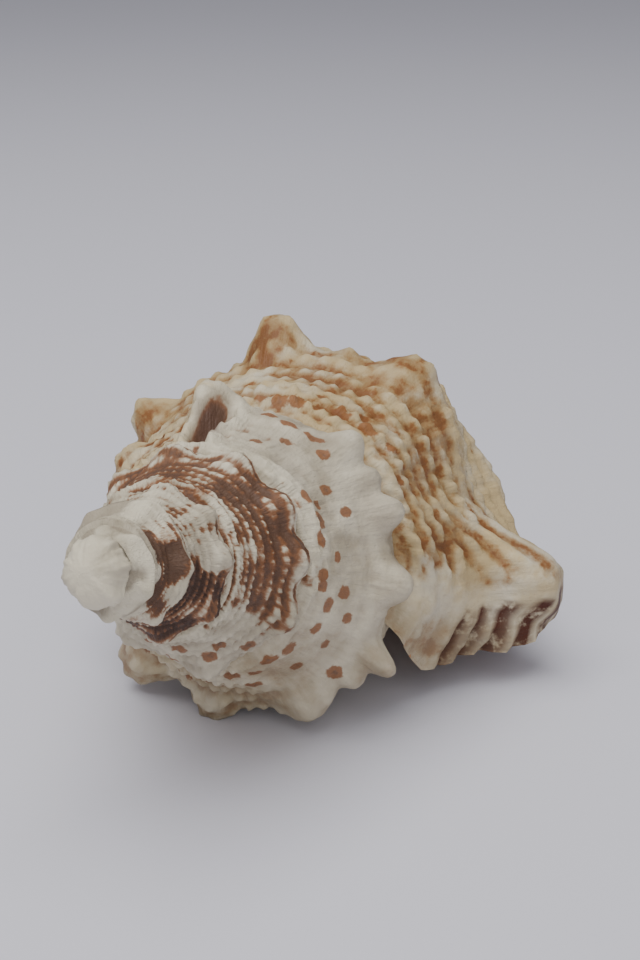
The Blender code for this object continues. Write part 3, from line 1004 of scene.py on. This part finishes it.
def node(tree: Tree, kind: str, links: dict | None = None, **settings: object) -> bpy.types.Node:
    """Adds a shader node with its settings and links.

    Args:
        tree: the material's node tree.
        kind: the node's type name.
        links: input name or number to a socket, or to a plain value.
        settings: the node's own properties.

    Returns:
        The new node.
    """
    made = tree.nodes.new(kind)
    for key, value in settings.items():
        setattr(made, key, value)
    for key, value in (links or {}).items():
        if isinstance(value, Socket):
            tree.links.new(value, made.inputs[key])
        else:
            made.inputs[key].default_value = value
    return made


class Tone(Enum):
    """The shell's colours, as sRGB."""

    WHITE = "#d2c9b2"
    GREY = "#b7ad96"
    CREAM = "#c2ac80"
    TAN = "#a0743c"
    ORANGE = "#86480a"
    BROWN = "#4a1d05"
    DARK = "#2a0f07"
    # Painted shade for the old lip's pit.
    PAINTED_PIT_SHADE = "#5a3c34"
    # Painted shade for the grooves.
    SHADOW = "#5a4432"
    MOUTH = "#c98a4e"


@dataclass(frozen=True)
class Swell:
    """A weighted sum of patterns, eased from 0 where it is at low to 1 where it is at high."""

    terms: tuple[tuple[str, float], ...]
    low: float
    high: float


@dataclass(frozen=True)
class Coat:
    """One colour laid over those before it.

    It covers by its strength times its masks, which are patterns as they are, and its swells.
    Where deeper has a tone and a swell, the colour turns to that tone.
    """

    tone: Tone
    strength: float = 1.0
    masks: tuple[str, ...] = ()
    swells: tuple[Swell, ...] = ()
    deeper: tuple[Tone, Swell] | None = None


PIGMENT_SUM = (("brown", 1.05), ("groove", 0.95), ("blotch", 0.80), ("streak", 0.35), ("crest", -0.22))
SPOT_SUM = (("spot", 1.0), ("blotch", 0.90), ("fine", 0.50))
TAN_SUM = (("groove", 0.60), ("blotch", 1.0), ("streak", 0.30))


@dataclass(frozen=True)
class ShellFinish:
    """Dry sea shell: chalky aragonite, cream outside with brown pigment, smoother in the mouth.

    The outside is matt with a faint gloss on worn places. Brown pigment lies in the grooves and
    thins out on beads and knobs, where the top layer has worn away, and the grooves also get
    painted shade. The chalk's real grain is finer than fine_mm, which is as coarse as it needs to
    be to show. A blotch is about as wide as a bead, and a cloud as a knob. A streak is as wide as
    a growth line, 1.5 mm on the last whorl.
    """

    name: str = "dry_sea_shell"
    roughness: float = 0.52
    ior: float = 1.53
    specular: float = 0.28
    fine_mm: float = 0.9
    blotch_mm: float = 3.2
    cloud_mm: float = 11.0
    grain_detail: float = 4.0
    grain_roughness: float = 0.6
    streak_cells: tuple[float, float, float] = (230.0, 9.0, 1.0)
    streak_detail: float = 3.0
    growth: tuple[str, ...] = (
        "brown", "dark", "hollow", "spot", "tan", "margin", "crest", "groove", "region", "turn", "place",
    )
    coats: tuple[Coat, ...] = (
        Coat(Tone.GREY, swells=(Swell((("cloud", 1.0),), 0.42, 0.66),)),
        Coat(Tone.CREAM, masks=("tan",), swells=(Swell((("cloud", 1.0),), 0.25, 0.60),)),
        Coat(Tone.TAN, 0.75, ("tan",), (Swell((("blotch", 1.0), ("groove", 1.0)), 0.80, 1.15),)),
        Coat(Tone.ORANGE, 0.80, ("tan",), (Swell(TAN_SUM, 1.00, 1.18),)),
        Coat(
            Tone.ORANGE, 0.92, (), (Swell(PIGMENT_SUM, 1.42, 1.80), Swell((("brown", 1.0),), 0.03, 0.25)),
            (Tone.BROWN, Swell(PIGMENT_SUM, 1.62, 2.10)),
        ),
        Coat(Tone.DARK, masks=("dark",), swells=(Swell(PIGMENT_SUM, 1.80, 2.30),)),
        Coat(Tone.ORANGE, 0.85, (), (Swell(SPOT_SUM, 1.10, 1.34),), (Tone.BROWN, Swell(SPOT_SUM, 1.55, 1.95))),
        Coat(Tone.BROWN, masks=("margin",), swells=(Swell((("blotch", 1.0),), 0.28, 0.52),)),
        # Painted shade: darkens the old lip's pit.
        Coat(Tone.PAINTED_PIT_SHADE, 0.85, (), (Swell((("hollow", 1.0),), 0.12, 0.75),)),
        # Painted shade: darkens the grooves, where shade would fall.
        Coat(Tone.SHADOW, 0.50, ("groove",)),
        Coat(Tone.MOUTH, masks=("region",), deeper=(Tone.ORANGE, Swell((("cloud", 1.0),), 0.35, 0.65))),
    )
    bumps: tuple[tuple[str, float, float], ...] = (
        ("streak", 0.8, 0.0004), ("fine", 0.7, 0.0003), ("blotch", 0.6, 0.0006),
    )

    def build(self) -> bpy.types.Material:
        """Makes the material: every coat over the ones before it, and growth lines and grain as bump.

        Returns:
            The new material.
        """
        material = bpy.data.materials.new(self.name)
        material.use_nodes = True
        tree = material.node_tree
        patterns = self.patterns(tree)
        colour = srgb(Tone.WHITE.value)
        for coat in self.coats:
            colour = self.lay(tree, patterns, coat, colour)
        surface = tree.nodes["Principled BSDF"]
        tree.links.new(colour, surface.inputs["Base Color"])
        links = {}
        for pattern, strength, depth in self.bumps:
            links |= {"Height": patterns[pattern], "Strength": strength, "Distance": depth}
            links["Normal"] = node(tree, "ShaderNodeBump", links).outputs["Normal"]
        tree.links.new(links["Normal"], surface.inputs["Normal"])
        surface.inputs["Roughness"].default_value = self.roughness
        surface.inputs["IOR"].default_value = self.ior
        surface.inputs["Specular IOR Level"].default_value = self.specular
        return material

    def patterns(self, tree: Tree) -> dict[str, Socket]:
        """The shell's attributes, noise in three sizes, and streaks drawn out across the whorl.

        Args:
            tree: the material's node tree.

        Returns:
            A socket for each pattern's name.
        """
        held = {key: node(tree, "ShaderNodeAttribute", attribute_name=key).outputs["Fac"] for key in self.growth}
        here = node(tree, "ShaderNodeTexCoord").outputs["Object"]
        for key, size in (("fine", self.fine_mm), ("blotch", self.blotch_mm), ("cloud", self.cloud_mm)):
            grain = {"Vector": here, "Scale": 1000 / size, "Detail": self.grain_detail}
            grain["Roughness"] = self.grain_roughness
            held[key] = node(tree, "ShaderNodeTexNoise", grain).outputs["Fac"]
        along = node(tree, "ShaderNodeCombineXYZ", {"X": held["turn"], "Y": held["place"]}).outputs[0]
        cells = node(tree, "ShaderNodeVectorMath", {0: along, 1: self.streak_cells}, operation="MULTIPLY")
        drawn = {"Vector": cells.outputs[0], "Scale": 1.0, "Detail": self.streak_detail}
        held["streak"] = node(tree, "ShaderNodeTexNoise", drawn).outputs["Fac"]
        return held

    @staticmethod
    def swelling(tree: Tree, patterns: dict, swell: Swell) -> Socket:
        """Adds up a swell's patterns, each times its weight, and eases the sum.

        Args:
            tree: the material's node tree.
            patterns: a socket for each pattern's name.
            swell: the patterns and the two levels.

        Returns:
            A socket from 0 to 1.
        """
        total = 0.0
        for key, weight in swell.terms:
            term = {0: patterns[key], 1: weight, 2: total}
            total = node(tree, "ShaderNodeMath", term, operation="MULTIPLY_ADD").outputs[0]
        levels = {"Value": total, "From Min": swell.low, "From Max": swell.high}
        return node(tree, "ShaderNodeMapRange", levels, interpolation_type="SMOOTHSTEP").outputs["Result"]

    def lay(self, tree: Tree, patterns: dict, coat: Coat, below: object) -> Socket:
        """Lays one coat over the colour below.

        Args:
            tree: the material's node tree.
            patterns: a socket for each pattern's name.
            coat: the colour and where it lies.
            below: the colour so far, a socket or a plain colour.

        Returns:
            The new colour.
        """
        cover = coat.strength
        factors = [patterns[key] for key in coat.masks]
        for factor in factors + [self.swelling(tree, patterns, swell) for swell in coat.swells]:
            cover = node(tree, "ShaderNodeMath", {0: factor, 1: cover}, operation="MULTIPLY").outputs[0]
        colour = srgb(coat.tone.value)
        if coat.deeper:
            tone, swell = coat.deeper
            deeper = {0: self.swelling(tree, patterns, swell), 6: colour, 7: srgb(tone.value)}
            colour = node(tree, "ShaderNodeMix", deeper, data_type="RGBA").outputs[2]
        return node(tree, "ShaderNodeMix", {0: cover, 6: below, 7: colour}, data_type="RGBA").outputs[2]


@dataclass(frozen=True)
class SoftLight:
    """A square light: its place and the point it looks at in metres, its side and its watts."""

    name: str
    place: tuple[float, float, float]
    aim: tuple[float, float, float]
    size: float
    power: float

    def build(self) -> None:
        """Adds the light to the scene."""
        data = bpy.data.lights.new(self.name, "AREA")
        data.size = self.size
        data.energy = self.power
        lamp = bpy.data.objects.new(self.name, data)
        lamp.location = self.place
        lamp.rotation_euler = (Vector(self.aim) - Vector(self.place)).to_track_quat("-Z", "Y").to_euler()
        bpy.context.scene.collection.objects.link(lamp)


@dataclass
class Studio:
    """Plain pale floor, soft light from above and the side, and a camera at the photo's angle."""

    camera_place: tuple[float, float, float] = (-0.32288698, -0.1190246, 0.17257365)
    azimuth: float = math.radians(-70)
    elevation: float = math.radians(20)
    lens: float = 65.0
    sensor: float = 36.0
    near: float = 0.01
    floor_size: float = 8.0
    floor_colour: str = "#d2d1d9"
    floor_roughness: float = 0.9
    air_colour: str = "#dcdce3"
    air_strength: float = 0.50
    lights: tuple[SoftLight, ...] = (
        SoftLight("overhead", (-0.35, 0.1, 1.2), (0, 0, 0), 1.1, 16.0),
        SoftLight("side", (-1.1, -0.6, 0.8), (0, 0, 0.03), 0.9, 5.0),
    )

    def build(self) -> None:
        """Makes the floor, the lights, the world and the camera."""
        self.floor()
        for light in self.lights:
            light.build()
        self.camera()
        world = bpy.data.worlds.new("studio_air")
        bpy.context.scene.world = world
        world.use_nodes = True
        background = world.node_tree.nodes["Background"]
        background.inputs["Color"].default_value = srgb(self.air_colour)
        background.inputs["Strength"].default_value = self.air_strength

    def floor(self) -> None:
        """A square of matt, seamless paper: pale, with no gloss and no visible grain."""
        half = self.floor_size / 2
        mesh = bpy.data.meshes.new("paper_floor")
        corners = [(-half, -half, 0), (half, -half, 0), (half, half, 0), (-half, half, 0)]
        mesh.from_pydata(corners, [], [(0, 1, 2, 3)])
        floor = bpy.data.objects.new("paper_floor", mesh)
        bpy.context.scene.collection.objects.link(floor)
        paper = bpy.data.materials.new("matt_paper")
        paper.use_nodes = True
        surface = paper.node_tree.nodes["Principled BSDF"]
        surface.inputs["Base Color"].default_value = srgb(self.floor_colour)
        surface.inputs["Roughness"].default_value = self.floor_roughness
        mesh.materials.append(paper)

    def camera(self) -> None:
        """The camera looks along its azimuth and elevation from its place."""
        az, el = self.azimuth, self.elevation
        back = Vector((math.sin(az) * math.cos(el), -math.cos(az) * math.cos(el), math.sin(el)))
        right = Vector((math.cos(az), math.sin(az), 0))
        up = back.cross(right)
        data = bpy.data.cameras.new("photo_camera")
        data.lens = self.lens
        data.sensor_width = self.sensor
        data.clip_start = self.near
        camera = bpy.data.objects.new("photo_camera", data)
        x, y, z = self.camera_place
        rows = ((right.x, up.x, back.x, x), (right.y, up.y, back.y, y), (right.z, up.z, back.z, z))
        camera.matrix_world = Matrix((*rows, (0, 0, 0, 1)))
        bpy.context.scene.collection.objects.link(camera)
        bpy.context.scene.camera = camera


def main() -> None:
    """Builds the shell and the studio."""
    logging.basicConfig(level=logging.INFO, format="%(message)s")
    shell = ShellWall().build()
    shell.data.materials.append(ShellFinish().build())
    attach(shell, "root")
    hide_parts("shell")
    Studio().build()


if __name__ == "__main__":
    main()
